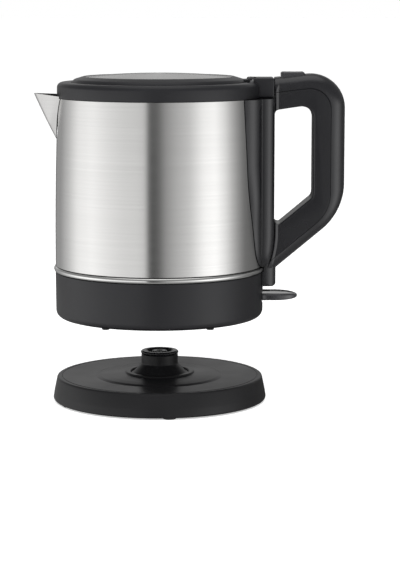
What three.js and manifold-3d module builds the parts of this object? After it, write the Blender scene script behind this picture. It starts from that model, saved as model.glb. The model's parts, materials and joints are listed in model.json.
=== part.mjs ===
// Cordless electric kettle on a round power base, in millimetres, +Z up.
// The origin is on the kettle's vertical axis, on the surface that the base's feet stand on. +X is the handle side.
// At rest the kettle hangs clear above its base, so that the connector and its socket can be seen.
import * as THREE from "three";
import { ConvexGeometry } from "three/addons/geometries/ConvexGeometry.js";
import { mergeVertices } from "three/addons/utils/BufferGeometryUtils.js";
import Module from "manifold-3d";

const wasm = await Module();
wasm.setup();

// ---------------------------------------------------------------- driving dimensions
const GAP = 0.35; // clearance left between pieces that touch on the real kettle
const ROUND = 36; // facets round a large turned piece
const SMALL_ROUND = 18; // facets round a small turned piece
const PIN_ROUND = 10; // facets round a pin, screw or foot

const FOOT_HEIGHT = 1.5; // rubber feet, on the base and on the kettle alike
const BASE_TOP = 19.5; // the base's rim; inside it the top is a shallow dish
const BASE_RIM_R = 79.2;
const BASE_SKIRT_R = 82.6;
const CONNECTOR_TOP = 38.5;
const KETTLE_Z = 66; // the kettle's underside at rest; seated it is at BASE_TOP + FOOT_HEIGHT + GAP

const BAND_R = 80; // plastic band round the kettle's foot
const BAND_TOP = 35.3;
const TRIM_TOP = 39.8;
const TRIM_R = 81.1;
const BODY_R = 79.9; // steel body just above its trim ring
const BODY_TOP = 168;
const BODY_TOP_R = 77;
const STEEL = 1; // sheet thickness of the body
const COLLAR_R = 77.6;
const COLLAR_TOP = 180;
const LID_R = 66.2;

const HANDLE_WIDTH = 28;
const HANDLE_BACK_X = 142; // outside of the grip
const HANDLE_DEPTH = 24.6;
const HANDLE_WALL = 2.5;
const ARM_SLOPE = THREE.MathUtils.degToRad(39.7); // lower arm, above the horizontal
const BEND = new THREE.Vector2(112, 95.9); // centre of the grip's lower bend, in x and z
const SADDLE_X = 87.9; // flat back of the saddle that the arms spring from
const PARTING = 11; // depth of the outer handle shell on the grip
const PARTING_ARM = 7; // its depth along the lower arm

const HINGE = new THREE.Vector2(70.5, 180.5); // lid hinge axis, in x and z
const SWITCH_PIVOT = new THREE.Vector2(66, 15.5); // switch lever axis, in x and z
const ROCKER_PIVOT = new THREE.Vector2(50, 15);

// ---------------------------------------------------------------- materials
const material = (color, roughness, metalness = 0) =>
  new THREE.MeshStandardMaterial({ color, roughness, metalness });
const BLACK = material(0x2a2a2c, 0.45);
const GLOSS_BLACK = material(0x1d1d1f, 0.15);
const RUBBER = material(0x1a1a1a, 0.9);
const BRUSHED = material(0xbdbcb8, 0.3, 1);
const BRASS = material(0xc9a14a, 0.3, 1);
const ALUMINIUM = material(0xc6c8ca, 0.4, 1);
const GREY = material(0x8d8f92, 0.5);
const CLEAR = material(0xdfe6ea, 0.05);

// ---------------------------------------------------------------- shape helpers
// A closed three.js geometry as a solid, turned outwards if its outline ran the other way.
function solid(geometry) {
  const loose = geometry.index ? geometry.toNonIndexed() : geometry;
  const bare = new THREE.BufferGeometry().setAttribute("position", loose.getAttribute("position"));
  const merged = mergeVertices(bare, 1e-4);
  const corners = [...merged.index.array];
  const faces = [];
  for (let i = 0; i < corners.length; i += 3) {
    const [a, b, c] = corners.slice(i, i + 3);
    if (a !== b && b !== c && c !== a) faces.push([a, b, c]);
  }
  const build = (list) =>
    new wasm.Manifold(
      new wasm.Mesh({
        numProp: 3,
        vertProperties: merged.getAttribute("position").array,
        triVerts: new Uint32Array(list.flat()),
      }),
    );
  const made = build(faces);
  return made.volume() > 0 ? made : build(faces.map(([a, b, c]) => [a, c, b]));
}

const join = (...solids) => solids.reduce((a, b) => a.add(b));
const cut = (whole, ...tools) => tools.reduce((a, b) => a.subtract(b), whole);

// A path in radius and height, turned about the vertical axis. It closes on itself unless it ends on the axis.
function turned(path, facets = ROUND, arcSteps = 2) {
  const points = path.getPoints(arcSteps);
  const onAxis = points[0].x === 0 && points[points.length - 1].x === 0;
  if (!onAxis) points.push(points[0].clone());
  return solid(new THREE.LatheGeometry(points, facets).rotateX(Math.PI / 2));
}

// A path through corners, with straight sides.
function polyline(corners) {
  return new THREE.Path(corners.map(([x, y]) => new THREE.Vector2(x, y)));
}

// A plain ring or, from radius 0, a disc.
function ring(inner, outer, bottom, top, facets = ROUND) {
  const corners = [[inner, bottom], [outer, bottom], [outer, top], [inner, top]];
  return turned(polyline(corners), facets);
}

function box(x0, x1, y0, y1, z0, z1) {
  const geometry = new THREE.BoxGeometry(x1 - x0, y1 - y0, z1 - z0);
  return solid(geometry.translate((x0 + x1) / 2, (y0 + y1) / 2, (z0 + z1) / 2));
}

// Round bars along each axis, between two ends.
function barX(x0, x1, y, z, radius, facets = PIN_ROUND) {
  const geometry = new THREE.CylinderGeometry(radius, radius, x1 - x0, facets);
  return solid(geometry.rotateZ(Math.PI / 2).translate((x0 + x1) / 2, y, z));
}
function barY(x, y0, y1, z, radius, facets = PIN_ROUND) {
  const geometry = new THREE.CylinderGeometry(radius, radius, y1 - y0, facets);
  return solid(geometry.translate(x, (y0 + y1) / 2, z));
}
function barZ(x, y, z0, z1, radius, facets = PIN_ROUND) {
  const geometry = new THREE.CylinderGeometry(radius, radius, z1 - z0, facets);
  return solid(geometry.rotateX(Math.PI / 2).translate(x, y, (z0 + z1) / 2));
}

// A closed outline through corners [x, y, radius], each corner rounded by an arc of its radius.
function outline(corners) {
  const shape = new THREE.Shape();
  corners.forEach(([x, y, radius = 0], i) => {
    const reach = i ? "lineTo" : "moveTo";
    const [px, py] = corners[(i + corners.length - 1) % corners.length];
    const [nx, ny] = corners[(i + 1) % corners.length];
    const back = new THREE.Vector2(px - x, py - y).normalize();
    const ahead = new THREE.Vector2(nx - x, ny - y).normalize();
    if (!radius) return shape[reach](x, y);
    const half = Math.acos(back.dot(ahead)) / 2;
    const corner = new THREE.Vector2(x, y);
    const towards = back.clone().add(ahead).normalize();
    const centre = corner.clone().addScaledVector(towards, radius / Math.sin(half));
    const start = corner.clone().addScaledVector(back, radius / Math.tan(half));
    const end = corner.clone().addScaledVector(ahead, radius / Math.tan(half));
    shape[reach](start.x, start.y);
    const [from, to] = [start.sub(centre).angle(), end.sub(centre).angle()];
    return shape.absarc(centre.x, centre.y, radius, from, to, back.cross(ahead) > 0);
  });
  return shape;
}

// An outline in x and z, made a plate between two values of y.
function alongY(shape, y0, y1, curveSegments = 3) {
  const geometry = new THREE.ExtrudeGeometry(shape, { depth: y1 - y0, bevelEnabled: false, curveSegments });
  return solid(geometry.rotateX(Math.PI / 2).translate(0, y1, 0));
}
// An outline in x and y, made a plate between two values of z.
function alongZ(shape, z0, z1, curveSegments = 3) {
  const geometry = new THREE.ExtrudeGeometry(shape, { depth: z1 - z0, bevelEnabled: false, curveSegments });
  return solid(geometry.translate(0, 0, z0));
}
// An outline in y and z, made a plate between two values of x.
function alongX(shape, x0, x1, curveSegments = 3) {
  const geometry = new THREE.ExtrudeGeometry(shape, { depth: x1 - x0, bevelEnabled: false, curveSegments });
  return solid(geometry.rotateX(Math.PI / 2).rotateZ(Math.PI / 2).translate(x0, 0, 0));
}

// A round wire along a curve.
function wire(curve, radius, steps, sides = 6) {
  const section = new THREE.Shape().absarc(0, 0, radius, 0, 2 * Math.PI);
  const options = { steps, extrudePath: curve, bevelEnabled: false, curveSegments: sides / 2 };
  return solid(new THREE.ExtrudeGeometry(section, options));
}
class Helix extends THREE.Curve {
  constructor(radius, length, turns) {
    super();
    Object.assign(this, { radius, length, turns });
  }
  getPoint(t) {
    const a = 2 * Math.PI * this.turns * t;
    return new THREE.Vector3(this.radius * Math.cos(a), this.radius * Math.sin(a), this.length * t);
  }
}

// The places of pieces that repeat round the axis, as [x, y].
function aroundAxis(count, radius, firstDegrees) {
  return Array.from({ length: count }, (_, i) => {
    const a = THREE.MathUtils.degToRad(firstDegrees + (360 / count) * i);
    return [radius * Math.cos(a), radius * Math.sin(a)];
  });
}

const kettle = new THREE.Group();
const base = new THREE.Group();
const whole = new THREE.Group().add(base, kettle);
kettle.position.z = KETTLE_Z;

// Adds a solid to a group as a named mesh.
function add(group, name, look, shape, position = [0, 0, 0]) {
  const { vertProperties, triVerts } = shape.getMesh();
  const geometry = new THREE.BufferGeometry()
    .setAttribute("position", new THREE.BufferAttribute(vertProperties, 3))
    .setIndex(new THREE.BufferAttribute(triVerts, 1));
  const mesh = new THREE.Mesh(geometry, look);
  mesh.name = name;
  mesh.position.set(...position);
  group.add(mesh);
}

// ---------------------------------------------------------------- power base
const BASE_SCREWS = aroundAxis(3, 60, 30);
const BASE_FEET = aroundAxis(5, 75, -83.3);
const FLOOR_TOP = FOOT_HEIGHT + 2;
const PAD_Z = 0.9; // face of the raised pad in the middle of the underside
const NOTCH = { half: 4.6, top: 10.6, cordZ: 6.2, cordR: 3.1 }; // where the mains cord leaves, at the back

function cordNotch(half, top) {
  return alongY(outline([[-half, 0], [half, 0], [half, top, half - 0.4], [-half, top, half - 0.4]]), 74, 90);
}

function baseCover() {
  const path = new THREE.Path();
  path.moveTo(79.6, FOOT_HEIGHT).lineTo(81.6, FOOT_HEIGHT).lineTo(BASE_SKIRT_R, 2.8);
  path.lineTo(BASE_RIM_R, BASE_TOP - 1.4);
  path.absarc(BASE_RIM_R - 1.4, BASE_TOP - 1.4, 1.4, 0, Math.PI / 2);
  path.lineTo(72, BASE_TOP).lineTo(48, 18.8); // the dish, then the dome up to the lip round the connector
  path.lineTo(26.8, 21).lineTo(26.2, 22.3).lineTo(23.2, 22.3).lineTo(22.6, 21.7).lineTo(22.6, 19);
  path.lineTo(25, 19).lineTo(48.5, 16.6).lineTo(76.4, 17.3).lineTo(79.8, 3.2);
  const bosses = BASE_SCREWS.map(([x, y]) => barZ(x, y, 9.8, 17, 4));
  const holes = BASE_SCREWS.map(([x, y]) => barZ(x, y, 9, 15.5, 1.7));
  return cut(join(turned(path), ...bosses), ...holes, cordNotch(NOTCH.half, NOTCH.top));
}

function baseFloor() {
  const plate = join(ring(0, 78.9, FOOT_HEIGHT, FLOOR_TOP), ring(0, 22, PAD_Z, FOOT_HEIGHT + 0.5));
  const bosses = BASE_SCREWS.map(([x, y]) => barZ(x, y, FLOOR_TOP - 0.5, 9.4, 5));
  const heads = BASE_SCREWS.map(([x, y]) => barZ(x, y, 0, 5, 3.4));
  const shanks = BASE_SCREWS.map(([x, y]) => barZ(x, y, 4, 10, 1.8));
  const stems = BASE_FEET.map(([x, y]) => barZ(x, y, 0, 5, 2.3));
  const tower = ring(14, 16, FLOOR_TOP - 0.5, 15, SMALL_ROUND); // holds the connector
  return cut(join(plate, tower, ...bosses), ...heads, ...shanks, ...stems, cordNotch(NOTCH.half, NOTCH.top));
}

const foot = (padR, stemR, stemTop) =>
  turned(
    polyline([[0, 0], [padR, 0], [padR, FOOT_HEIGHT - GAP], [stemR, FOOT_HEIGHT - GAP], [stemR, stemTop], [0, stemTop]]),
    PIN_ROUND,
  );

// A pan-head screw standing on z = 0, with a cross-cut head.
function screw(headR, headHeight, shankR, length) {
  const corners = [[0, 0], [headR, 0], [headR, headHeight], [shankR, headHeight], [shankR, length], [0, length]];
  const slot = 0.35;
  const arms = [box(-headR / 1.6, headR / 1.6, -slot, slot, -1, 0.7), box(-slot, slot, -headR / 1.6, headR / 1.6, -1, 0.7)];
  return cut(turned(polyline(corners), PIN_ROUND), ...arms);
}

function connectorHousing() {
  const corners = [[12.4, 15.4], [28, 15.4], [28, 18.2], [22.2, 18.2], [22.2, 20.2], [18.9, 20.2]];
  corners.push([14.15, 27.7], [14.15, 35.6], [13.7, 36], [12.4, 36]);
  return turned(polyline(corners), SMALL_ROUND);
}
function connectorCore() {
  const corners = [[2.6, 3.85], [12, 3.85], [12, 36], [9.2, 36], [9.2, 16], [5.6, 16], [5.6, 37.7], [2.6, 37.7]];
  return turned(polyline(corners), SMALL_ROUND);
}
function connectorCap() {
  const corners = [[9.2, 36.35], [14.3, 36.35], [14.7, 36.7], [14.7, 37.7], [13.8, CONNECTOR_TOP]];
  corners.push([10.6, CONNECTOR_TOP], [9.2, 37.5]);
  return turned(polyline(corners), SMALL_ROUND);
}

// Rubber bush in the skirt, where the cord comes out. It is grooved over the skirt's edge.
function cordBush() {
  const { half, top, cordZ, cordR } = NOTCH;
  const plug = alongY(outline([[-half + GAP, FOOT_HEIGHT + GAP], [half - GAP, FOOT_HEIGHT + GAP],
    [half - GAP, top - GAP, half - 1], [-half + GAP, top - GAP, half - 1]]), 77.8, 85);
  return cut(plug, barY(0, 70, 90, cordZ, cordR));
}

add(base, "base_cover", BLACK, baseCover());
add(base, "base_floor", BLACK, baseFloor());
BASE_FEET.forEach(([x, y], i) => add(base, `base_foot_${i + 1}`, RUBBER, foot(5, 2, 4.4), [x, y, 0]));
BASE_SCREWS.forEach(([x, y], i) => add(base, `base_screw_${i + 1}`, ALUMINIUM, screw(3, 1.6, 1.35, 11.5), [x, y, 3]));
add(base, "connector_housing", BLACK, connectorHousing());
add(base, "connector_core", BLACK, connectorCore());
add(base, "connector_cap", BLACK, connectorCap());
add(base, "contact_sleeve", BRASS, ring(1.9, 2.25, 12, 34.3, PIN_ROUND));
add(base, "contact_ring_inner", BRASS, ring(5.95, 6.3, 16.35, 34.3, SMALL_ROUND));
add(base, "contact_ring_outer", BRASS, ring(8.5, 8.85, 16.35, 34.3, SMALL_ROUND));
add(base, "cord_bush", RUBBER, cordBush());

// ---------------------------------------------------------------- kettle: connector socket, on its own turning body
function socketHousing() {
  const corners = [[0, 18], [16.2, 18], [16.2, 11.3], [20.5, 5], [24, 5], [24, 19.2], [0, 19.2]];
  return turned(polyline(corners), SMALL_ROUND);
}
add(kettle, "socket_housing", BLACK, socketHousing());
add(kettle, "socket_pin", BRASS, turned(polyline([[0, 7], [0.8, 7], [1.4, 8], [1.4, 17.65], [0, 17.65]]), PIN_ROUND));
add(kettle, "socket_ring", BRASS, ring(6.8, 7.9, 9, 17.65, SMALL_ROUND));

// ---------------------------------------------------------------- kettle: vessel and underside
const KETTLE_FEET = [33.3, 146.7, 213.3, 326.7].map((fromBack) => {
  const a = THREE.MathUtils.degToRad(90 + fromBack);
  return [71 * Math.cos(a), 71 * Math.sin(a)];
});
const PILLARS = aroundAxis(3, 62, 60);
const GAUGE = { half: 4.6, bottom: 75, top: 150 };
const STEAM_TUBE = { x: 83.5, y: 8 };
const FILTER = { x: -72.4, half: 19, bottom: 134, top: 163.4 };

// The body's outline leans in on one long arc. Its radius at a height, less an inset.
const BODY_FOOT = TRIM_TOP + 0.5;
const leanIn = (BODY_TOP - BODY_FOOT) ** 2 / (BODY_R - BODY_TOP_R);
const bodyRadius = (z, inset = 0) => BODY_R - inset - (z - BODY_FOOT) ** 2 / leanIn;
function bodyHeights(count) {
  return Array.from({ length: count + 1 }, (_, i) => BODY_FOOT + ((BODY_TOP - BODY_FOOT) * i) / count);
}

function steelBody() {
  const heights = bodyHeights(6);
  const neck = 77.2; // the sheet steps in behind the trim ring and runs down inside the band
  const corners = [[neck - STEEL, 30], [neck, 30], [neck, TRIM_TOP]];
  heights.forEach((z) => corners.push([bodyRadius(z), z]));
  heights.reverse().forEach((z) => corners.push([bodyRadius(z, STEEL), Math.max(z, BODY_FOOT + STEEL)]));
  corners.push([neck - STEEL, TRIM_TOP + STEEL]);
  const pourHole = alongX(outline([[-16, 138, 6], [16, 138, 6], [16, 161, 4], [-16, 161, 4]]), -90, -60);
  const gaugeSlot = box(60, 90, -3.5, 3.5, GAUGE.bottom + 3, GAUGE.top - 3);
  return cut(turned(polyline(corners)), pourHole, gaugeSlot);
}

function trimRing() {
  const path = new THREE.Path();
  const middle = (BAND_TOP + GAP + TRIM_TOP) / 2;
  const half = (TRIM_TOP - BAND_TOP - GAP) / 2;
  path.moveTo(77.6, middle - half).lineTo(BODY_R - 0.4, middle - half);
  path.absellipse(BODY_R - 0.4, middle, TRIM_R - BODY_R + 0.4, half, -Math.PI / 2, Math.PI / 2);
  path.lineTo(77.6, middle + half);
  return turned(path);
}

function baseBand() {
  const path = new THREE.Path();
  path.moveTo(66, 0).lineTo(BAND_R - 6, 0);
  path.absarc(BAND_R - 6, 6, 6, -Math.PI / 2, 0);
  path.lineTo(BAND_R, BAND_TOP).lineTo(77.6, BAND_TOP).lineTo(77.6, 6).lineTo(74.5, 2.4).lineTo(66, 2.4);
  const slot = box(70, 90, -13, 13, 10, 19);
  const earPair = [box(62, 76.5, 14, 17, 9, 20), box(62, 76.5, -17, -14, 9, 20)];
  const pinHole = barY(SWITCH_PIVOT.x, -20, 20, SWITCH_PIVOT.y, 1.8);
  const steamHole = barX(74, 84, STEAM_TUBE.y, 27, 2.4);
  const stems = KETTLE_FEET.map(([x, y]) => barZ(x, y, -1, 3, 1.6));
  return cut(join(turned(path), ...earPair), slot, pinHole, steamHole, ...stems);
}

function bottomCover() {
  const corners = [[24.5, 5], [40, 5], [46, 2.75], [73.8, 2.75], [75.8, 4.75], [46.8, 4.75], [41, 7], [24.5, 7]];
  const ears = [box(47, 53, 5.5, 7.5, 4, 17.5), box(47, 53, -7.5, -5.5, 4, 17.5)];
  const pillars = PILLARS.map(([x, y]) => barZ(x, y, 4, 32.65, 3.6));
  const holes = PILLARS.map(([x, y]) => barZ(x, y, 0, 14, 1.7));
  const pinHole = barY(ROCKER_PIVOT.x, -10, 10, ROCKER_PIVOT.y, 1.6);
  return cut(join(turned(polyline(corners)), ...ears, ...pillars), ...holes, pinHole);
}

// Sheathed element under the plate: most of a circle, with a cold pin at each end.
const ELEMENT_R = 45;
function heatingElement() {
  const path = new THREE.CurvePath();
  const count = 24;
  const points = Array.from({ length: count + 1 }, (_, i) => {
    const a = THREE.MathUtils.degToRad(210 + (300 * i) / count);
    return new THREE.Vector3(ELEMENT_R * Math.cos(a), ELEMENT_R * Math.sin(a), 0);
  });
  return wire(new THREE.CatmullRomCurve3(points), 3.2, count, 8);
}

add(kettle, "steel_body", BRUSHED, steelBody());
add(kettle, "trim_ring", BRUSHED, trimRing());
add(kettle, "base_band", BLACK, baseBand());
add(kettle, "bottom_cover", BLACK, bottomCover());
KETTLE_FEET.forEach(([x, y], i) =>
  add(kettle, `kettle_foot_${i + 1}`, RUBBER, foot(2.8, 1.2, 3.6), [x, y, -FOOT_HEIGHT]));
PILLARS.forEach(([x, y], i) => add(kettle, `cover_screw_${i + 1}`, ALUMINIUM, screw(3.2, 1.4, 1.3, 12), [x, y, 1]));
add(kettle, "heater_plate", BRUSHED, ring(0, 75.85, 33, 34.6));
add(kettle, "plate_gasket", RUBBER, ring(72, 75.85, 31, 32.65));
add(kettle, "heat_spreader", ALUMINIUM, ring(0, 55, 30.5, 32.65));
add(kettle, "heating_element", GREY, heatingElement(), [0, 0, 26.9]);
add(kettle, "thermostat_control", BLACK, ring(0, 28, 19.55, 28.8, SMALL_ROUND));
[-14, 14].forEach((x, i) => add(kettle, `bimetal_disc_${i + 1}`, BRASS, barZ(x, 0, 29.2, 30.1, 9, SMALL_ROUND)));
add(kettle, "steam_bimetal", BRASS, barX(70, 70.7, STEAM_TUBE.y, 24.5, 6.3, SMALL_ROUND));

// ---------------------------------------------------------------- kettle: spout and filter
// A beak with a round nose, wide at the top. An inset makes the hollow inside it.
function beak(inset, top) {
  const arc = (tipX, z, radius, count = 6) =>
    Array.from({ length: count + 1 }, (_, i) => {
      const a = Math.PI / 2 + (Math.PI * i) / count;
      return new THREE.Vector3(tipX + radius + radius * Math.cos(a), radius * Math.sin(a), z);
    });
  const root = [-1, 1].map((side) => new THREE.Vector3(-66, side * (37 - inset), top));
  const chin = new THREE.Vector3(-66, 0, 112 + 2 * inset);
  const nose = arc(-99 + inset, top, 8 - inset);
  const throat = arc(-84 + inset, 138 + inset, 6 - inset);
  return solid(new ConvexGeometry([...nose, ...throat, ...root, chin]));
}
function spout() {
  const lip = box(-120, -60, -60, 60, 170, 200);
  return cut(beak(0, 172), beak(1.1, 174), envelope(GAP), lip);
}
// The outside of the band, trim, body and collar together, grown by a gap.
function envelope(gap) {
  const corners = [[0, -1], [BAND_R + gap, -1], [BAND_R + gap, BAND_TOP], [TRIM_R + gap, BAND_TOP + 0.6]];
  corners.push([TRIM_R + gap, TRIM_TOP - 0.6]);
  bodyHeights(6).forEach((z) => corners.push([bodyRadius(z) + gap, z]));
  corners.push([COLLAR_R + gap, BODY_TOP + 0.2], [COLLAR_R + gap, COLLAR_TOP + 30], [0, COLLAR_TOP + 30]);
  return turned(polyline(corners));
}
function filterFrame() {
  const { x, half, bottom, top } = FILTER;
  const frame = alongX(outline([[-half, bottom, 3], [half, bottom, 3], [half, top, 3], [-half, top, 3]]), x, x + 2);
  const window = box(x - 1, x + 3, -half + 2.5, half - 2.5, bottom + 2.5, top - 2.5);
  const grip = box(x + 1.5, x + 7, -5, 5, top - 2.4, top - 0.9); // finger tab for lifting it out
  return join(cut(frame, window), grip);
}
function filterMesh() {
  const { x, half, bottom, top } = FILTER;
  const inset = 2.5 + GAP;
  return box(x + 0.7, x + 1.1, -half + inset, half - inset, bottom + inset, top - inset);
}
add(kettle, "spout", BRUSHED, spout());
add(kettle, "filter_frame", BLACK, filterFrame());
add(kettle, "filter_mesh", BRUSHED, filterMesh());

// ---------------------------------------------------------------- kettle: collar and lid
const COLLAR_SEAT = 177.2;
const KNUCKLE_R = 3.2;

function collar() {
  const path = new THREE.Path();
  path.moveTo(75.2, 164.4).lineTo(75.2, BODY_TOP + GAP).lineTo(COLLAR_R, BODY_TOP + GAP);
  path.lineTo(COLLAR_R, COLLAR_TOP - 4);
  path.absarc(COLLAR_R - 4, COLLAR_TOP - 4, 4, 0, Math.PI / 2);
  path.lineTo(66.6, COLLAR_TOP).lineTo(66.6, COLLAR_SEAT).lineTo(63, COLLAR_SEAT).lineTo(63, 171).lineTo(73, 171);
  path.lineTo(73, 164.4);
  const block = box(67.2, SADDLE_X, -15, 15, 171, 183.4); // carries the hinge and the catch behind the lid
  const pocket = box(60, 74.2, -10.2, 10.2, 176.6, 190);
  const pinHole = barY(HINGE.x, -20, 20, HINGE.y, 1.8);
  const catchWay = box(70, 90, -5.4, 5.4, 177.6, 180.9);
  const inside = ring(0, 63, 150, 200); // keeps the block out of the lid's opening
  return cut(join(turned(path), cut(block, inside)), pocket, pinHole, catchWay);
}

function lidCover() {
  const path = new THREE.Path();
  path.moveTo(0, 184.4).lineTo(58, 181.4).lineTo(63.8, 179.4).lineTo(63.8, 177.6).lineTo(LID_R, 177.6);
  path.lineTo(LID_R, 180).lineTo(65, 181.8).lineTo(58, 183.8).lineTo(30, 186).lineTo(0, 186.6);
  const arm = box(61, HINGE.x, -9.6, 9.6, 178.1, 182.1);
  const knuckle = barY(HINGE.x, -9.6, 9.6, HINGE.y, KNUCKLE_R);
  const bore = barY(HINGE.x, -20, 20, HINGE.y, 1.8);
  return cut(join(turned(path), arm, knuckle), bore);
}
function lidLiner() {
  const corners = [[0, 169], [56, 169], [61, 173], [61, 177.2], [58.6, 177.2], [58.6, 174], [55, 171], [0, 171]];
  return turned(polyline(corners));
}

add(kettle, "collar", BLACK, collar());
add(kettle, "lid_cover", BLACK, lidCover());
add(kettle, "lid_liner", GREY, lidLiner());
add(kettle, "lid_seal", RUBBER, ring(61.35, 62.3, 173.6, 175.6));
add(kettle, "lid_hinge_pin", ALUMINIUM, barY(HINGE.x, -14.6, 14.6, HINGE.y, 1.4));

// ---------------------------------------------------------------- kettle: saddle, gauge and handle
// A line parallel to the lower arm, at an offset from the bend's centre: its height at an x.
function armLine(offset, x) {
  const across = (x - BEND.x) * Math.sin(ARM_SLOPE) - offset;
  return BEND.y + across / Math.cos(ARM_SLOPE);
}
const OUTSIDE = HANDLE_BACK_X - BEND.x; // offset of the handle's outer face from the bend's centre
const INSIDE = OUTSIDE - HANDLE_DEPTH;
const GRIP_X = HANDLE_BACK_X - HANDLE_DEPTH; // inside of the grip
const PART_X = HANDLE_BACK_X - PARTING; // where the two handle shells meet on the grip
const PART_OFFSET = OUTSIDE - PARTING_ARM;
const FOOT_X = 89.6; // outside of the leg that runs down over the band
const FOOT_BOTTOM = 24;
const ARM_LEFT = SADDLE_X + GAP;
// Lines along the upper arm, which rises a little towards the grip: their heights at an x.
const crest = (x, inset = 0) => 183.6 + 0.106 * (x - ARM_LEFT) - inset;
const belly = (x, inset = 0) => 159 + 0.151 * (x - ARM_LEFT) + inset;
const armParting = (x, shift) => 172.6 + 0.12 * (x - ARM_LEFT) + shift;

// The side view of the whole handle, shrunk by an inset. It reaches in to x = left.
function handleOutline(left, inset) {
  return outline([
    [left, crest(left, inset)],
    [HANDLE_BACK_X - inset, crest(HANDLE_BACK_X, inset), 26],
    [HANDLE_BACK_X - inset, armLine(OUTSIDE - inset, HANDLE_BACK_X - inset), 44 - inset],
    [ARM_LEFT + inset, armLine(OUTSIDE - inset, ARM_LEFT + inset)],
    [left, armLine(OUTSIDE - inset, ARM_LEFT + inset)],
    [left, armLine(INSIDE + inset, ARM_LEFT)],
    [ARM_LEFT, armLine(INSIDE + inset, ARM_LEFT)],
    [GRIP_X + inset, armLine(INSIDE + inset, GRIP_X + inset), 6 + inset],
    [GRIP_X + inset, belly(GRIP_X, inset), 9 + inset],
    [left, belly(left, inset)],
  ]);
}
// Everything outside the parting line: the grip's back, the top of the upper arm and the underside of the lower one.
function outsideParting(shift) {
  const x = PART_X + shift;
  const offset = PART_OFFSET + shift;
  return outline([
    [60, armParting(60, shift)],
    [x, armParting(x, shift), 16],
    [x, armLine(offset, x), 30],
    [60, armLine(offset, 60)],
    [60, -20],
    [200, -20],
    [200, 250],
    [60, 250],
  ]);
}

const HALF = HANDLE_WIDTH / 2;
const HANDLE_SCREWS = [58, 163.4]; // their heights
const BUTTON = { x0: 93, x1: 111, half: 7.5, top: 187.6, bottom: 178.2 };

function handleCavity() {
  return alongY(handleOutline(60, HANDLE_WALL), -HALF + HANDLE_WALL, HALF - HANDLE_WALL);
}
function handleInner() {
  const blank = alongY(handleOutline(ARM_LEFT, 0), -HALF, HALF);
  const bosses = HANDLE_SCREWS.map((z) => barX(ARM_LEFT, 97, 0, z, 3.6));
  const bores = HANDLE_SCREWS.map((z) => barX(80, 98, 0, z, 1.8));
  const outer = alongY(outsideParting(-GAP), -HALF - 1, HALF + 1);
  const face = box(ARM_LEFT, ARM_LEFT + HANDLE_WALL, -HALF, HALF, 50, 66); // closes the arm against the saddle
  const shell = cut(blank, handleCavity());
  return cut(join(shell, cut(face, alongY(outsideParting(-GAP), -20, 20)), ...bosses), ...bores, outer);
}
function handleOuter() {
  const blank = alongY(handleOutline(ARM_LEFT, 0), -HALF, HALF);
  const armEnd = armLine(OUTSIDE, FOOT_X);
  const leg = alongY(outline([[78, FOOT_BOTTOM], [FOOT_X, FOOT_BOTTOM, 2.5], [FOOT_X, armEnd], [FOOT_X + 8, armEnd + 6.6],
    [FOOT_X + 8, 60], [78, 60]]), -HALF, HALF);
  const legCavity = alongY(outline([[60, FOOT_BOTTOM + 2.2], [FOOT_X - 2.2, FOOT_BOTTOM + 2.2],
    [FOOT_X - 2.2, armEnd + 1.5], [FOOT_X + 10, armEnd + 11], [60, armEnd + 11]]), -HALF + HANDLE_WALL, HALF - HANDLE_WALL);
  const buttonWay = box(BUTTON.x0 - 0.5, BUTTON.x1 + 0.5, -BUTTON.half - 0.5, BUTTON.half + 0.5, 170, 200);
  const outer = alongY(outsideParting(0), -HALF - 1, HALF + 1);
  const shell = cut(join(blank, leg).intersect(outer), handleCavity(), legCavity, buttonWay);
  return cut(shell, envelope(GAP));
}

// Moulding that wraps the back of the body, hollow inside, with a window for the gauge.
function saddle() {
  // in plan: a wide wing that hugs the body on each side, and a spine between them for the arms to stand on
  const side = [[SADDLE_X, 17, 3], [85.2, 25.4, 5], [77.9, 27.6], [76.6, 32, 3], [71, 39, 6], [66, 44.5]];
  const section = outline([[55, -46], ...side.map(([x, y, r = 0]) => [x, -y, r]).reverse(), ...side, [55, 46]]);
  const shield = new THREE.Shape().moveTo(9, 36);
  shield.splineThru([[26, 48.6], [36, 71.9], [40.4, 95], [42.4, 127], [43.6, BODY_TOP]].map((p) => new THREE.Vector2(...p)));
  shield.lineTo(-43.6, BODY_TOP);
  shield.splineThru([[-42.4, 127], [-40.4, 95], [-36, 71.9], [-26, 48.6], [-9, 36]].map((p) => new THREE.Vector2(...p)));
  const inner = [[SADDLE_X - 1.8, 16, 2], [83.6, 23.2, 3], [76.6, 25.4], [74.6, 31], [69, 37]];
  const hollow = outline([[55, -38], ...inner.map(([x, y, r = 0]) => [x, -y, r]).reverse(), ...inner, [55, 38]]);
  const blank = alongZ(section, 30, BODY_TOP).intersect(alongX(shield, 50, 100, 2));
  const way = alongX(outline([[-GAUGE.half, GAUGE.bottom, 3], [GAUGE.half, GAUGE.bottom, 3],
    [GAUGE.half, GAUGE.top, 3], [-GAUGE.half, GAUGE.top, 3]]), 84, 90);
  const screws = HANDLE_SCREWS.map((z) => barX(80, 90, 0, z, 1.8));
  const tubeWay = barZ(STEAM_TUBE.x, STEAM_TUBE.y, 30, 52, 2.5);
  const below = alongY(outline([[60, armLine(PART_OFFSET, 60) + 2.4], [100, armLine(PART_OFFSET, 100) + 2.4], [100, 0], [60, 0]]), -60, 60);
  return cut(blank, alongZ(hollow, 50, 166.8), envelope(GAP), way, ...screws, tubeWay, below);
}
function gaugeWindow() {
  const { half, bottom, top } = GAUGE;
  const side = half - GAP;
  const pane = alongX(outline([[-side, bottom + GAP, 2.6], [side, bottom + GAP, 2.6], [side, top - GAP, 2.6],
    [-side, top - GAP, 2.6]]), 78, SADDLE_X - 0.4);
  const channel = box(70, 84.5, -2.6, 2.6, bottom + 3, top - 3); // water stands in this channel
  return cut(pane, channel, envelope(GAP));
}

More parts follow.
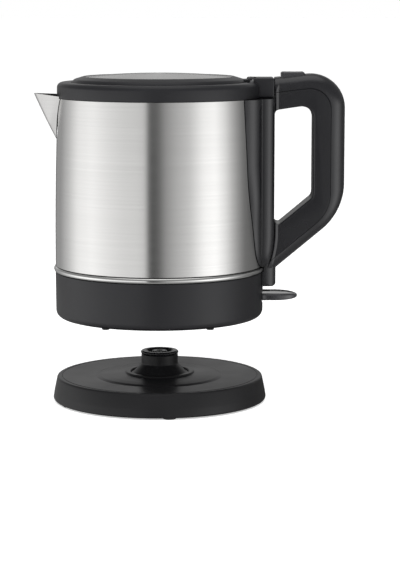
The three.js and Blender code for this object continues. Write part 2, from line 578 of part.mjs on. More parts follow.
add(kettle, "saddle", BLACK, saddle());
add(kettle, "gauge_window", CLEAR, gaugeWindow());
add(kettle, "handle_inner", BLACK, handleInner());
add(kettle, "handle_outer", BLACK, handleOuter());
HANDLE_SCREWS.forEach((z, i) =>
  add(kettle, `handle_screw_${i + 1}`, ALUMINIUM, screw(3, 1.6, 1.35, 13).rotate([0, 90, 0]), [82.4, 0, z]));
add(kettle, "steam_tube", GREY, ring(1.5, 2.1, 26.6, 158, PIN_ROUND), [STEAM_TUBE.x, STEAM_TUBE.y, 0]);

// ---------------------------------------------------------------- kettle: lid button and catch
function lidButton() {
  const { x0, x1, half, top, bottom } = BUTTON;
  const cap = alongY(outline([[x0, bottom], [x1, bottom], [x1, top + 0.4, 1.5], [x0, top - 0.6, 1.5]]), -half, half);
  const flange = box(x0 - 1.5, x1 + 1.5, -half - 1.5, half + 1.5, bottom, bottom + 1.4); // stops it under the shell
  return join(cap, flange);
}
add(kettle, "lid_button", BLACK, lidButton());
add(kettle, "button_spring", ALUMINIUM, wire(new Helix(3.6, 12.2, 4), 0.45, 40, 6), [102, 0, 165.1]);
add(kettle, "lid_catch", GREY, box(74.3, 89.4, -5, 5, 178, 180.5)); // its nose stops short of the lid's knuckle

// ---------------------------------------------------------------- kettle: switch
function switchLever() {
  const plan = new THREE.Shape().moveTo(61, -11.5).lineTo(78, -11.5).lineTo(79.4, -12).lineTo(90, -12);
  plan.absellipse(90, 0, 16.5, 12, -Math.PI / 2, Math.PI / 2);
  plan.lineTo(79.4, 12).lineTo(78, 11.5).lineTo(61, 11.5);
  return cut(alongZ(plan, 13.1, 17.9, 8), barY(SWITCH_PIVOT.x, -20, 20, SWITCH_PIVOT.y, 1.8));
}
function tripRocker() {
  return join(box(41, 59.4, -5.1, 5.1, 13.5, 16.5), barY(ROCKER_PIVOT.x, -7.3, 7.3, ROCKER_PIVOT.y, 1.2));
}
add(kettle, "switch_lever", GLOSS_BLACK, switchLever());
add(kettle, "switch_pin", ALUMINIUM, barY(SWITCH_PIVOT.x, -16.8, 16.8, SWITCH_PIVOT.y, 1.4));
add(kettle, "trip_rocker", GREY, tripRocker());

export default whole;
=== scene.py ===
"""Looks of the cordless electric kettle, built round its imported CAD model.

Shapes are given in millimetres and made into meshes in metres. Pieces of the kettle are given above its own
underside and lifted by KETTLE_Z; pieces of the power base are given above the floor. +X is the handle side.
"""

import json
import math

import bmesh
import bpy
import numpy as np
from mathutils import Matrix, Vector

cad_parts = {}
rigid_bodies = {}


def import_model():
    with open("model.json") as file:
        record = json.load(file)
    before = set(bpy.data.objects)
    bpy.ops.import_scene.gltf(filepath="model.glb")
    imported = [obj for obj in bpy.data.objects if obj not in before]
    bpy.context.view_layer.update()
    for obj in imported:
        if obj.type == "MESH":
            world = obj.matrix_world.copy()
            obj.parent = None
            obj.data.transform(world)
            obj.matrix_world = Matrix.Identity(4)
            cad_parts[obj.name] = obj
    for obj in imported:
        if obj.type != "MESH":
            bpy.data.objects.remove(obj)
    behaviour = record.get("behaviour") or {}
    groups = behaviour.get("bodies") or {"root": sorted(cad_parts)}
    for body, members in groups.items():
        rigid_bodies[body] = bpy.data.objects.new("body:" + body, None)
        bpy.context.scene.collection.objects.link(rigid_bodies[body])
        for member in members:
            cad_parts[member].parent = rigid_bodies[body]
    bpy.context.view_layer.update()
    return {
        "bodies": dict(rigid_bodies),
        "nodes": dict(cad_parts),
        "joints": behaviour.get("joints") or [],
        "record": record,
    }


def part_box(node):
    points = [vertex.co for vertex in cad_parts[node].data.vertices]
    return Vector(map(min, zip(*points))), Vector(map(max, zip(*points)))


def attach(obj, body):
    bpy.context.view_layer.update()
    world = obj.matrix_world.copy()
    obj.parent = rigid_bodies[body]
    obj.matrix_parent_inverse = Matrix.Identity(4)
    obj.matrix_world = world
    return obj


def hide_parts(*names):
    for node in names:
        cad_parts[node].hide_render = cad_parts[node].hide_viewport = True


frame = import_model()

MM = 0.001
SEGMENTS, SMALL_SEGMENTS = 192, 96  # facets round a large turned piece and round a small one
GAP = 0.35  # clearance left where pieces meet
KETTLE_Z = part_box("base_band")[0].z / MM

# Vessel
BAND_R, BAND_TOP = 80.0, 35.3
TRIM_TOP, TRIM_R = 39.8, 81.1
BODY_FOOT, BODY_FOOT_R = 40.3, 79.9
BODY_TOP, BODY_TOP_R = 168.0, 77.0
SHEET = 1.0  # thickness of the body's steel
VESSEL_FLOOR, LITRE = 34.6, 53.7  # top of the heater plate, and how far a litre of water rises above it
COLLAR_R, COLLAR_TOP = 77.6, 180.0
HINGE_X, HINGE_Z = 70.5, 180.5

# Handle, seen from the side
SADDLE_X = 87.9
ARM_LEFT = SADDLE_X + GAP
HANDLE_BACK_X, HANDLE_DEPTH, HANDLE_HALF, HANDLE_WALL = 142.0, 24.6, 14.0, 2.5
GRIP_X = HANDLE_BACK_X - HANDLE_DEPTH
ARM_SLOPE = math.radians(39.7)
BEND_X, BEND_Z = 112.0, 95.9
OUTSIDE = HANDLE_BACK_X - BEND_X  # the lower arm's faces, as offsets from the bend's centre
INSIDE = OUTSIDE - HANDLE_DEPTH
PARTING, PARTING_ARM = 11.0, 7.0  # depth of the outer handle shell on the grip and on the lower arm
FOOT_X, FOOT_BOTTOM = 89.6, 24.0
HANDLE_SCREWS = (58, 163.4)

# Small parts of the kettle
GAUGE_HALF, GAUGE_BOTTOM, GAUGE_TOP = 4.6, 75, 150
GAUGE_QUARTERS = range(4, 8)  # the quarters of a litre that have a mark
FILTER_X, FILTER_HALF, FILTER_BOTTOM, FILTER_TOP = -72.4, 19, 134, 163.4
SPOUT_FOOT, SPOUT_RISE = 112, 60
SPOUT_HALF, SPOUT_ROOT, SPOUT_REACH = 37, -66, 33  # half width at the lip, X of the foot, reach of the lip
SWITCH_X, SWITCH_Z = 66, 15.5
ROCKER_X, ROCKER_Z = 50, 15


# ------------------------------------------------------------------ outlines
def unit(v):
    return v / np.linalg.norm(v)


def rounded(corners, steps, closed=True):
    """Points along an outline of corners (x, y, radius); each rounded corner gives steps + 1 points."""
    points = []
    count = len(corners)
    for i, corner in enumerate(corners):
        here, radius = np.array(corner[:2], float), (corner[2] if len(corner) > 2 else 0)
        if not radius or (not closed and i in (0, count - 1)):
            points.append(here)
            continue
        back = unit(np.array(corners[i - 1][:2], float) - here)
        ahead = unit(np.array(corners[(i + 1) % count][:2], float) - here)
        half = math.acos(np.clip(back @ ahead, -1, 1)) / 2
        centre = here + unit(back + ahead) * radius / math.sin(half)
        first = here + back * radius / math.tan(half) - centre
        turn = math.pi - 2 * half
        if back[0] * ahead[1] - back[1] * ahead[0] > 0:
            turn = -turn
        for k in range(steps + 1):
            a = turn * k / steps
            c, s = math.cos(a), math.sin(a)
            points.append(centre + np.array([c * first[0] - s * first[1], s * first[0] + c * first[1]]))
    return points


def inset(corners, depth):
    """The corners of an outline moved inwards, with their radii to match.

    depth is one number, or one for each side.
    """
    here = np.array([c[:2] for c in corners], float)
    radii = [c[2] if len(c) > 2 else 0 for c in corners]
    depths = np.broadcast_to(depth, len(corners))
    ahead = np.roll(here, -1, 0)
    area = np.sum(here[:, 0] * ahead[:, 1] - here[:, 1] * ahead[:, 0])
    side = np.array([unit(e) for e in ahead - here])
    inwards = np.stack([-side[:, 1], side[:, 0]], 1) * np.sign(area)
    moved = []
    for i in range(len(corners)):
        move = np.linalg.solve([inwards[i - 1], inwards[i]], [depths[i - 1], depths[i]])
        convex = (side[i - 1][0] * side[i][1] - side[i - 1][1] * side[i][0]) * area > 0
        change = (depths[i - 1] + depths[i]) / 2
        radius = radii[i] and max(radii[i] + (-change if convex else change), 0.05)
        moved.append((here[i][0] + move[0], here[i][1] + move[1], radius))
    return moved


def rectangle(u0, u1, v0, v1, radius):
    """The corners of a rectangle, all rounded alike."""
    return [(u0, v0, radius), (u1, v0, radius), (u1, v1, radius), (u0, v1, radius)]


def ring(radius, degrees):
    """Points at one distance from the axis, by their angles in degrees."""
    return [(radius * math.cos(math.radians(a)), radius * math.sin(math.radians(a))) for a in degrees]


# ------------------------------------------------------------------ solids
def solid(points, faces, lift):
    """A closed mesh object from points in millimetres."""
    mesh = bpy.data.meshes.new("solid")
    mesh.from_pydata([(x * MM, y * MM, (z + lift) * MM) for x, y, z in points], [], faces)
    bm = bmesh.new()
    bm.from_mesh(mesh)
    bmesh.ops.remove_doubles(bm, verts=bm.verts, dist=1e-7)
    bmesh.ops.recalc_face_normals(bm, faces=bm.faces)
    if bm.calc_volume(signed=True) < 0:
        bmesh.ops.reverse_faces(bm, faces=bm.faces)
    bm.to_mesh(mesh)
    bm.free()
    obj = bpy.data.objects.new("solid", mesh)
    bpy.context.scene.collection.objects.link(obj)
    return obj


def lathe(profile, segments=SEGMENTS, lift=0.0, centre=(0, 0)):
    """A profile of (r, z) turned about a vertical axis.

    It closes on itself, or starts and ends on the axis.
    """
    points, rows = [], []
    for r, z in profile:
        row = []
        for k in range(segments if r > 1e-6 else 1):
            a = 2 * math.pi * k / segments
            row.append(len(points))
            points.append((centre[0] + r * math.cos(a), centre[1] + r * math.sin(a), z))
        rows.append(row)
    on_axis = len(rows[0]) == 1 and len(rows[-1]) == 1
    faces = []
    for i in range(len(rows) - 1 if on_axis else len(rows)):
        low, high = rows[i], rows[(i + 1) % len(rows)]
        for k in range(segments):
            n = (k + 1) % segments
            quad = [low[k % len(low)], low[n % len(low)], high[n % len(high)], high[k % len(high)]]
            face = list(dict.fromkeys(quad))
            if len(face) > 2:
                faces.append(face)
    return solid(points, faces, lift)


def loft(rings, lift):
    """A skin over rings of equally many points, closed with a flat cap at each end."""
    count = len(rings[0])
    points = [p for ring in rings for p in ring]
    faces = [list(range(count)), [len(points) - count + k for k in range(count)][::-1]]
    for i in range(len(rings) - 1):
        for k in range(count):
            n = (k + 1) % count
            faces.append([i * count + k, i * count + n, (i + 1) * count + n, (i + 1) * count + k])
    obj = solid(points, faces, lift)
    bm = bmesh.new()
    bm.from_mesh(obj.data)
    caps = [f for f in bm.faces if len(f.verts) > 4]
    bmesh.ops.triangulate(bm, faces=caps, ngon_method="EAR_CLIP")
    bm.to_mesh(obj.data)
    bm.free()
    return obj


def edge_levels(half, radius):
    """(inset, distance) pairs from one face of a plate to the other, its edges rounded."""
    quarter = [(radius * (1 - math.sin(a)), half - radius * (1 - math.cos(a)))
               for a in np.linspace(0, math.pi / 2, 6)]
    return [(d, -h) for d, h in quarter] + [(d, h) for d, h in reversed(quarter)]


def across_x(y, z, x):
    """Puts a point of an outline seen along X in space; across_y and across_z do so for theirs."""
    return x, y, z


def across_y(x, z, y):
    return x, y, z


def across_z(x, y, z):
    return x, y, z


def plate(corners, place, levels, steps=6, lift=0.0):
    """An outline made a plate by (inset, distance) levels, which place(u, v, distance) puts in space."""
    rings = [[place(p[0], p[1], h) for p in rounded(inset(corners, d), steps)] for d, h in levels]
    return loft(rings, lift)


def prism(corners, place, low, high, steps=6, lift=0.0):
    """An outline made a plate with square edges, from low to high across it."""
    return plate(corners, place, [(0, low), (0, high)], steps, lift)


def pillow(corners, half, edge_radii, steps, count=25):
    """A side view of the kettle's handle made a plate, whose every side has an edge radius of its own."""
    radii = np.array(edge_radii, float)
    rings = []
    for h in half * np.sin(np.linspace(-math.pi / 2, math.pi / 2, count)):
        over = np.clip(abs(h) - half + radii, 0, None)
        depths = radii - np.sqrt(np.clip(radii**2 - over**2, 0, None))
        rings.append([across_y(u, v, h) for u, v in rounded(inset(corners, depths), steps)])
    return loft(rings, KETTLE_Z)


def box(x0, x1, y0, y1, z0, z1, lift=0.0):
    rings = [[(x0, y0, z), (x1, y0, z), (x1, y1, z), (x0, y1, z)] for z in (z0, z1)]
    return loft(rings, lift)


def bar(start, end, radius, segments=32, lift=0.0):
    """A round bar between two points."""
    start, end = Vector(start), Vector(end)
    turn = (end - start).to_track_quat("Z", "Y")
    rings = []
    for at in (start, end):
        circle = [at + turn @ Vector((radius * math.cos(a), radius * math.sin(a), 0))
                  for a in np.linspace(0, 2 * math.pi, segments, endpoint=False)]
        rings.append([tuple(p) for p in circle])
    return loft(rings, lift)


def posts(places, low, high, radius, lift=0.0):
    """An upright round bar at each place."""
    return [bar((x, y, low), (x, y, high), radius, lift=lift) for x, y in places]


def pin_hole(x, z, radius=1.8, reach=20):
    """A bar along Y that cuts the hole for one of the kettle's pins."""
    return bar((x, -reach, z), (x, reach, z), radius, lift=KETTLE_Z)


def apply_modifiers(obj):
    graph = bpy.context.evaluated_depsgraph_get()
    made = bpy.data.meshes.new_from_object(obj.evaluated_get(graph))
    obj.modifiers.clear()
    obj.data = made
    return obj


def carve(target, *tools, operation="DIFFERENCE"):
    """target less each tool, or joined or crossed with it. The tools are used up."""
    for tool in tools:
        modifier = target.modifiers.new("carve", "BOOLEAN")
        modifier.operation, modifier.solver, modifier.object = operation, "MANIFOLD", tool
        apply_modifiers(target)
        bpy.data.objects.remove(tool)
    return target


def soften(obj, width, segments=2):
    """Bevels the sharp edges of a plain solid."""
    modifier = obj.modifiers.new("soften", "BEVEL")
    modifier.width, modifier.segments = width * MM, segments
    modifier.limit_method, modifier.angle_limit = "ANGLE", math.radians(35)
    return apply_modifiers(obj)


def piece(obj, name, look, body, nodes=None, sharp=32):
    """Names a solid, gives it its look and body, and hides the CAD nodes that it stands for.

    Without nodes it stands for the one of its own name. sharp is the angle from which edges are left sharp.
    """
    obj.name = obj.data.name = name
    obj.data.materials.clear()
    obj.data.materials.append(LOOKS[look])
    look = SLOT_OF.get(look, look)
    obj.data.polygons.foreach_set("use_smooth", [True] * len(obj.data.polygons))
    obj.data.set_sharp_from_angle(angle=math.radians(sharp))
    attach(obj, body)
    nodes = (name.removesuffix("_look"),) if nodes is None else nodes
    if nodes:
        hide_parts(*nodes)


# ------------------------------------------------------------------ materials
def add_node(tree, kind, values=None, **settings):
    """A new shader node with these settings.

    Each value is set on an input, or linked to it if it is a socket.
    """
    node = tree.nodes.new(kind)
    for key, value in settings.items():
        setattr(node, key, value)
    for key, value in (values or {}).items():
        if isinstance(value, bpy.types.NodeSocket):
            tree.links.new(value, node.inputs[key])
        else:
            node.inputs[key].default_value = value
    return node


class Look:
    """A node material with a Principled shader, and short ways to add nodes to it."""

    def __init__(self, name, color, roughness, metallic=0.0, **sockets):
        self.material = bpy.data.materials.new(name)
        self.material.use_nodes = True
        self.tree = self.material.node_tree
        self.shader = self.tree.nodes["Principled BSDF"]
        self.set("Base Color", (*color, 1))
        self.set("Roughness", roughness)
        self.set("Metallic", metallic)
        for socket, value in sockets.items():
            self.set(socket.replace("_", " "), value)
        self.place = self.add("ShaderNodeTexCoord").outputs["Object"]

    def set(self, socket, value):
        self.shader.inputs[socket].default_value = value

    def add(self, kind, values=None, **settings):
        return add_node(self.tree, kind, values, **settings)

    def link(self, output, socket):
        self.tree.links.new(output, self.shader.inputs[socket])

    def noise(self, scale, detail, stretch=(1, 1, 1)):
        """Noise of that many features a metre, the same on every run."""
        mapped = self.add("ShaderNodeMapping", {"Vector": self.place, "Scale": stretch})
        values = {"Vector": mapped.outputs["Vector"], "Scale": scale, "Detail": detail}
        return self.add("ShaderNodeTexNoise", values).outputs["Fac"]

    def spread(self, fac, low, high):
        """fac, from its middle range, mapped to low … high."""
        values = {"Value": fac, "From Min": 0.3, "From Max": 0.7, "To Min": low, "To Max": high}
        return self.add("ShaderNodeMapRange", values).outputs["Result"]

    def tint(self, fac, dark, light):
        """A colour between two. The node's colour sockets are inputs 6 and 7 and output 2."""
        values = {"Factor": fac, 6: (*dark, 1), 7: (*light, 1)}
        return self.add("ShaderNodeMix", values, data_type="RGBA").outputs[2]

    def bump(self, height, depth_mm):
        values = {"Height": height, "Distance": depth_mm * MM, "Strength": 1.0}
        return self.add("ShaderNodeBump", values).outputs["Normal"]


def shade(color, factor):
    return tuple(c * factor for c in color)


def moulded_plastic(name, color, roughness, grain_mm=0.012, grains=2600, **sockets):
    """Spark-eroded moulded plastic: a fine even grain, with slow changes of sheen and tone."""
    look = Look(name, color, roughness, **sockets)
    slow = look.noise(22, 3)
    look.link(look.tint(slow, shade(color, 0.9), shade(color, 1.1)), "Base Color")
    look.link(look.spread(slow, roughness - 0.04, roughness + 0.04), "Roughness")
    look.link(look.bump(look.noise(grains, 2), grain_mm), "Normal")
    return look.material


def brushed_metal(name, color, roughness, anisotropy=0.85, depth_mm=0.0002):
    """Metal brushed round the axis: level streaks, fine ones in its tone and broader ones in its sheen."""
    look = Look(name, color, roughness, 1.0, Anisotropic=anisotropy, Anisotropic_Rotation=0.25)
    fine = look.noise(9, 3, (1, 1, 170))
    broad = look.noise(4, 3, (1, 1, 110))
    look.link(look.tint(fine, shade(color, 0.94), shade(color, 1.05)), "Base Color")
    look.link(look.spread(broad, roughness - 0.01, roughness + 0.01), "Roughness")
    look.link(look.bump(broad, depth_mm), "Normal")
    tangent = look.add("ShaderNodeTangent", direction_type="RADIAL", axis="Z")
    look.link(tangent.outputs["Tangent"], "Tangent")
    return look.material


def plain_metal(name, color, roughness):
    """Drawn or rolled metal with faint wear in its sheen."""
    look = Look(name, color, roughness, 1.0)
    wear = look.noise(160, 4)
    look.link(look.tint(wear, shade(color, 0.9), shade(color, 1.05)), "Base Color")
    look.link(look.spread(wear, roughness * 0.8, roughness * 1.3), "Roughness")
    return look.material


def rubber(name, color):
    look = Look(name, color, 0.78)
    look.set("Specular IOR Level", 0.3)
    slow = look.noise(90, 3)
    look.link(look.tint(slow, shade(color, 0.85), shade(color, 1.2)), "Base Color")
    look.link(look.bump(look.noise(1900, 3), 0.02), "Normal")
    return look.material


def polished_plastic(name):
    """Dark polished plastic with a faint clear coat."""
    color = (0.02, 0.02, 0.022)
    look = Look(name, color, 0.12, Coat_Weight=0.5, Coat_Roughness=0.04)
    cloud = look.noise(60, 3)
    look.link(look.tint(cloud, shade(color, 0.85), shade(color, 1.1)), "Base Color")
    look.link(look.spread(cloud, 0.09, 0.16), "Roughness")
    return look.material


def clear_window(name):
    look = Look(name, (0.8, 0.84, 0.85), 0.06, Transmission_Weight=0.9, IOR=1.5)
    cloud = look.noise(70, 2)
    look.link(look.spread(cloud, 0.04, 0.12), "Roughness")
    return look.material


LOOKS = {
    "black_plastic": moulded_plastic("black_plastic", (0.009, 0.009, 0.0103), 0.36, Specular_IOR_Level=0.32),
    "base_plastic": moulded_plastic("base_plastic", (0.0075, 0.0075, 0.0081), 0.34, 0.02, 1000,
                                    Specular_IOR_Level=0.24),
    "satin_plastic": moulded_plastic("satin_plastic", (0.006, 0.006, 0.0072), 0.26, 0.002,
                                     Specular_IOR_Level=0.6),
    "inner_plastic": moulded_plastic("inner_plastic", (0.018, 0.018, 0.0185), 0.26),
    "grey_plastic": moulded_plastic("grey_plastic", (0.2, 0.2, 0.21), 0.45),
    "gloss_plastic": polished_plastic("gloss_plastic"),
    "brushed_steel": brushed_metal("brushed_steel", (0.66, 0.655, 0.645), 0.25),
    "polished_steel": brushed_metal("polished_steel", (0.7, 0.7, 0.69), 0.14, 0.4, depth_mm=0.001),
    "rubber": rubber("rubber", (0.022, 0.022, 0.023)),
    "screw_steel": plain_metal("screw_steel", (0.5, 0.5, 0.51), 0.3),
    "spreader_aluminium": plain_metal("spreader_aluminium", (0.75, 0.75, 0.76), 0.35),
    "contact_brass": plain_metal("contact_brass", (0.78, 0.58, 0.28), 0.25),
    "window": clear_window("window"),
}
SLOT_OF = {"satin_plastic": "black_plastic", "base_plastic": "black_plastic"}  # looks that share a slot


def dress_cad_nodes():
    """Gives each CAD node that stays in view the material of its slot."""
    slots = {s["node"]: s["material_slot"] for s in frame["record"]["subparts"]}
    for name, obj in frame["nodes"].items():
        obj.data.materials.clear()
        obj.data.materials.append(LOOKS[slots[name]])


# ------------------------------------------------------------------ camera, floor and light
CAMERA_AT, CAMERA_TILT, LENS = (31.4, -1500, 309), 8.329, 123.7


def make_camera():
    """In front of the kettle, a little towards the handle and above the lid, looking slightly down."""
    data = bpy.data.cameras.new("camera")
    data.sensor_width, data.lens = 36, LENS
    camera = bpy.data.objects.new("camera", data)
    camera.location = [v * MM for v in CAMERA_AT]
    camera.rotation_euler = (math.radians(90 - CAMERA_TILT), 0, 0)
    bpy.context.scene.collection.objects.link(camera)
    bpy.context.scene.camera = camera


# The studio: brightness round the horizon, by angle in degrees from the front towards the handle side
STUDIO = [(-180, 0.05), (-167, 0.07), (-160, 0.33), (-139, 0.4), (-119, 0.78), (-100, 1.36), (-78, 1.56),
          (-56, 1.3), (-38, 1.14), (-22, 1.08), (-14, 0.98), (-10.5, 0.05), (-4, 0.05), (2, 0.17), (8, 0.42),
          (18, 0.66), (35, 0.98), (52, 1.65), (66, 1.8), (79, 1.3), (90, 0.75), (100, 0.42), (110, 0.22),
          (150, 0.12), (180, 0.05)]
# What takes over from the ring: the heights of direction where it starts and is full, and its brightness
ABOVE_RING, OVERHEAD, UNDERFOOT = (0.05, 0.26, 0.3), (0.8, 0.95, 1.2), (-0.3, -0.8, 0.35)
BACKDROP = 0.58  # brightness of a low softbox behind the object, which the flat tops mirror


def set_stops(ramp, levels):
    """Gives a colour ramp over a full turn its stops, and returns the level that its white stands for."""
    brightest = max(value for _, value in levels)
    stops = ramp.elements
    for i, (degrees, value) in enumerate(levels):
        at = degrees / 360 + 0.5
        stop = stops[i] if i < 2 else stops.new(at)
        stop.position = at
        stop.color = (value / brightest,) * 3 + (1,)
    return brightest


def make_studio():
    """A world that works as a ring of softboxes round the object, with an even light overhead."""
    world = bpy.data.worlds.new("studio")
    world.use_nodes = True
    bpy.context.scene.world = world
    world.node_tree.nodes.clear()

    def add(kind, values=None, **settings):
        return add_node(world.node_tree, kind, values, **settings)

    def calc(operation, *values):
        return add("ShaderNodeMath", dict(enumerate(values)), operation=operation).outputs[0]

    def ramp_up(axis, start, end):
        values = {"Value": axes[axis], "From Min": start, "From Max": end}
        return add("ShaderNodeMapRange", values, interpolation_type="SMOOTHSTEP").outputs["Result"]

    def blend(factor, value, over):
        values = {"Factor": factor, "A": over, "B": value}
        return add("ShaderNodeMix", values, data_type="FLOAT").outputs["Result"]

    axes = add("ShaderNodeSeparateXYZ", {0: add("ShaderNodeTexCoord").outputs["Generated"]}).outputs
    angle = calc("ARCTAN2", axes["X"], calc("MULTIPLY", axes["Y"], -1.0))
    ramp = add("ShaderNodeValToRGB", {"Fac": calc("MULTIPLY_ADD", angle, 1 / (2 * math.pi), 0.5)})
    level = calc("MULTIPLY", ramp.outputs["Color"], set_stops(ramp.color_ramp, STUDIO))
    for start, end, value in (ABOVE_RING, OVERHEAD, UNDERFOOT):
        level = blend(ramp_up("Z", start, end), value, level)
    level = blend(calc("MULTIPLY", ramp_up("Z", 0.06, 0.13), ramp_up("Y", 0.8, 0.95)), BACKDROP, level)

    lit = add("ShaderNodeBackground", {"Color": level, "Strength": 1.0}).outputs[0]
    seen = add("ShaderNodeBackground", {"Color": (1, 1, 1, 1), "Strength": 1.0}).outputs[0]
    by_camera = add("ShaderNodeLightPath").outputs["Is Camera Ray"]
    shown = add("ShaderNodeMixShader", {0: by_camera, 1: lit, 2: seen}).outputs[0]
    add("ShaderNodeOutputWorld", {"Surface": shown})


FLOOR_SIZE, FLOOR_GLOW = 60, 0.5


def make_floor():
    """A white floor that glows a little, so that it stays as bright as the background."""
    bpy.ops.mesh.primitive_plane_add(size=FLOOR_SIZE)
    floor = bpy.context.object
    floor.name = "floor"
    look = Look("floor", (0.97, 0.97, 0.97), 0.9)
    look.set("Specular IOR Level", 0.0)
    look.set("Emission Color", (1, 1, 1, 1))
    look.set("Emission Strength", FLOOR_GLOW)
    floor.data.materials.append(look.material)
    floor.visible_glossy = False


SOFTBOX_SIZE, SOFTBOX_POWER = 2.4, 80
SOFTBOX_AT, SOFTBOX_TILT = (0, -1.9, 1.5), 52


def make_softbox():
    """A broad soft light from above and in front, for the floor and the tops of things."""
    data = bpy.data.lights.new("softbox", "AREA")
    data.shape, data.energy = "RECTANGLE", SOFTBOX_POWER
    data.size = data.size_y = SOFTBOX_SIZE
    light = bpy.data.objects.new("softbox", data)
    light.location = SOFTBOX_AT
    light.rotation_euler = (math.radians(SOFTBOX_TILT), 0, 0)
    light.visible_glossy = False
    bpy.context.scene.collection.objects.link(light)


# ------------------------------------------------------------------ power base
NOTCH_HALF, NOTCH_TOP, BUSH_Y = 4.6, 10.6, 81.4
BASE_SCREWS = ring(60, (30, 150, 270))
BASE_FEET = [f"base_foot_{i}" for i in range(1, 6)]


def node_middle(node):
    """The middle of a CAD node in millimetres."""
    low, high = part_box(node)
    return (low + high) / (2 * MM)


def cord_notch():
    half, top = NOTCH_HALF, NOTCH_TOP
    corners = [(-half, 0), (half, 0), (half, top, half * 0.95), (-half, top, half * 0.95)]
    return prism(corners, across_y, 74, 90)


def base_cover():
    """The skirt, the flat top with its groove, the dome, and the bosses for the floor's screws."""
    skirt = [(79.8, 1.5), (81.9, 1.5, 0.6), (82.6, 2.8, 0.8), (81.8, 8.0, 30), (79.4, 19.5, 1.7)]
    groove = [(76.3, 19.5, 0.3), (75.7, 19.05), (75.1, 19.5, 0.3)]
    dome = [(49.2, 18.75, 1.2), (46.0, 19.6, 6), (39.5, 20.2, 40), (26.9, 21.0, 0.4), (26.2, 22.3, 0.5),
            (23.0, 22.3, 0.5), (22.5, 21.6)]
    inner = [(22.5, 19.1), (25, 19.0), (48.5, 16.8), (76.6, 17.5), (80.0, 3.2)]
    cover = lathe(rounded(skirt + groove + dome + inner, 8))
    cover = carve(cover, *posts(BASE_SCREWS, 9.8, 17.4, 4), operation="UNION")
    return carve(cover, cord_notch(), *posts(BASE_SCREWS, 9, 15.5, 1.7))


def base_floor():
    corners = [(0, 0.9), (21.6, 0.9), (22, 1.5), (78.5, 1.5), (79, 2.0), (79, 3.5), (16, 3.5), (16, 15),
               (14, 15), (14, 3.5), (0, 3.5)]
    floor = carve(lathe(corners), *posts(BASE_SCREWS, 3, 9.4, 5), operation="UNION")
    screw_ways = posts(BASE_SCREWS, 0, 5, 3.4) + posts(BASE_SCREWS, 4, 10, 1.8)
    feet = [node_middle(name)[:2] for name in BASE_FEET]
    return carve(floor, *screw_ways, *posts(feet, 0, 5, 2.3), cord_notch())


def connector_housing():
    corners = [(12.4, 15.4), (28, 15.4), (28, 18.2), (22.2, 18.2), (22.2, 21.1, 0.5), (20.6, 21.6, 1.5),
               (14.15, 28.2, 2), (14.15, 35.4), (13.75, 36.0), (12.4, 36.0)]
    return lathe(rounded(corners, 6), SMALL_SEGMENTS)


def connector_core():
    """Two walls with a slot between them for the contact rings; the inner one ends in a wider rounded hub."""
    corners = [(2.6, 3.9), (12, 3.9), (12, 36), (9.2, 36), (9.2, 16), (5.6, 16), (5.6, 35.4), (6.2, 36),
               (6.2, 38.2, 1.3), (2.1, 38.2, 0.9), (2.1, 36), (2.6, 35.4)]
    return lathe(rounded(corners, 6), SMALL_SEGMENTS)


def connector_cap():
    corners = [(9.2, 36.35), (14.3, 36.35, 0.3), (14.75, 37.5, 0.7), (13.6, 38.5, 0.7), (10.9, 38.5, 0.5),
               (9.2, 37.4, 0.4)]
    return lathe(rounded(corners, 5), SMALL_SEGMENTS)


def tube(inner, outer, bottom, top, edge=0.1, lift=0.0, segments=SMALL_SEGMENTS):
    return lathe(rounded(rectangle(inner, outer, bottom, top, edge), 3), segments, lift)


def foot(node, pad_r, stem_r):
    """A rubber foot in the place of its CAD node."""
    low, high = (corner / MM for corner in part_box(node))
    middle = node_middle(node)
    pad_top = low.z + 1.15
    corners = [(0, low.z), (pad_r, low.z, 0.4), (pad_r, pad_top), (stem_r, pad_top), (stem_r, high.z),
               (0, high.z)]
    return lathe(rounded(corners, 4, closed=False), 48, centre=(middle.x, middle.y))


def cord_bush():
    """Fills the notch for the cord, round the hole that the cord goes through."""
    half, top = NOTCH_HALF - GAP, NOTCH_TOP - GAP
    corners = [(-half, 1.85, 0.5), (half, 1.85, 0.5), (half, top, half * 0.85), (-half, top, half * 0.85)]
    bush = plate(corners, lambda x, z, y: (x, BUSH_Y + y, z), edge_levels(3.5, 0.5))
    return carve(bush, bar((0, 70, 6.2), (0, 90, 6.2), 3.1))


def make_base():
    body = "power_base"
    piece(base_cover(), "base_cover_look", "base_plastic", body)
    piece(base_floor(), "base_floor_look", "inner_plastic", body)
    piece(connector_housing(), "connector_housing_look", "base_plastic", body)
    piece(connector_core(), "connector_core_look", "inner_plastic", body)
    piece(connector_cap(), "connector_cap_look", "satin_plastic", body)
    piece(tube(1.9, 2.25, 12, 34.3), "contact_sleeve_look", "contact_brass", body)
    piece(tube(5.95, 6.3, 16.35, 34.3), "contact_ring_inner_look", "contact_brass", body)
    piece(tube(8.5, 8.85, 16.35, 34.3), "contact_ring_outer_look", "contact_brass", body)
    piece(cord_bush(), "cord_bush_look", "rubber", body)
    for name in BASE_FEET:
        piece(foot(name, 5, 2), f"{name}_look", "rubber", body)


# ------------------------------------------------------------------ kettle: underside and vessel
def body_radius(z, depth=0.0):
    lean = (BODY_FOOT_R - BODY_TOP_R) / (BODY_TOP - BODY_FOOT) ** 2
    return BODY_FOOT_R - depth - lean * (z - BODY_FOOT) ** 2


def lifted_lathe(corners, steps):
    return lathe(rounded(corners, steps), SEGMENTS, KETTLE_Z)


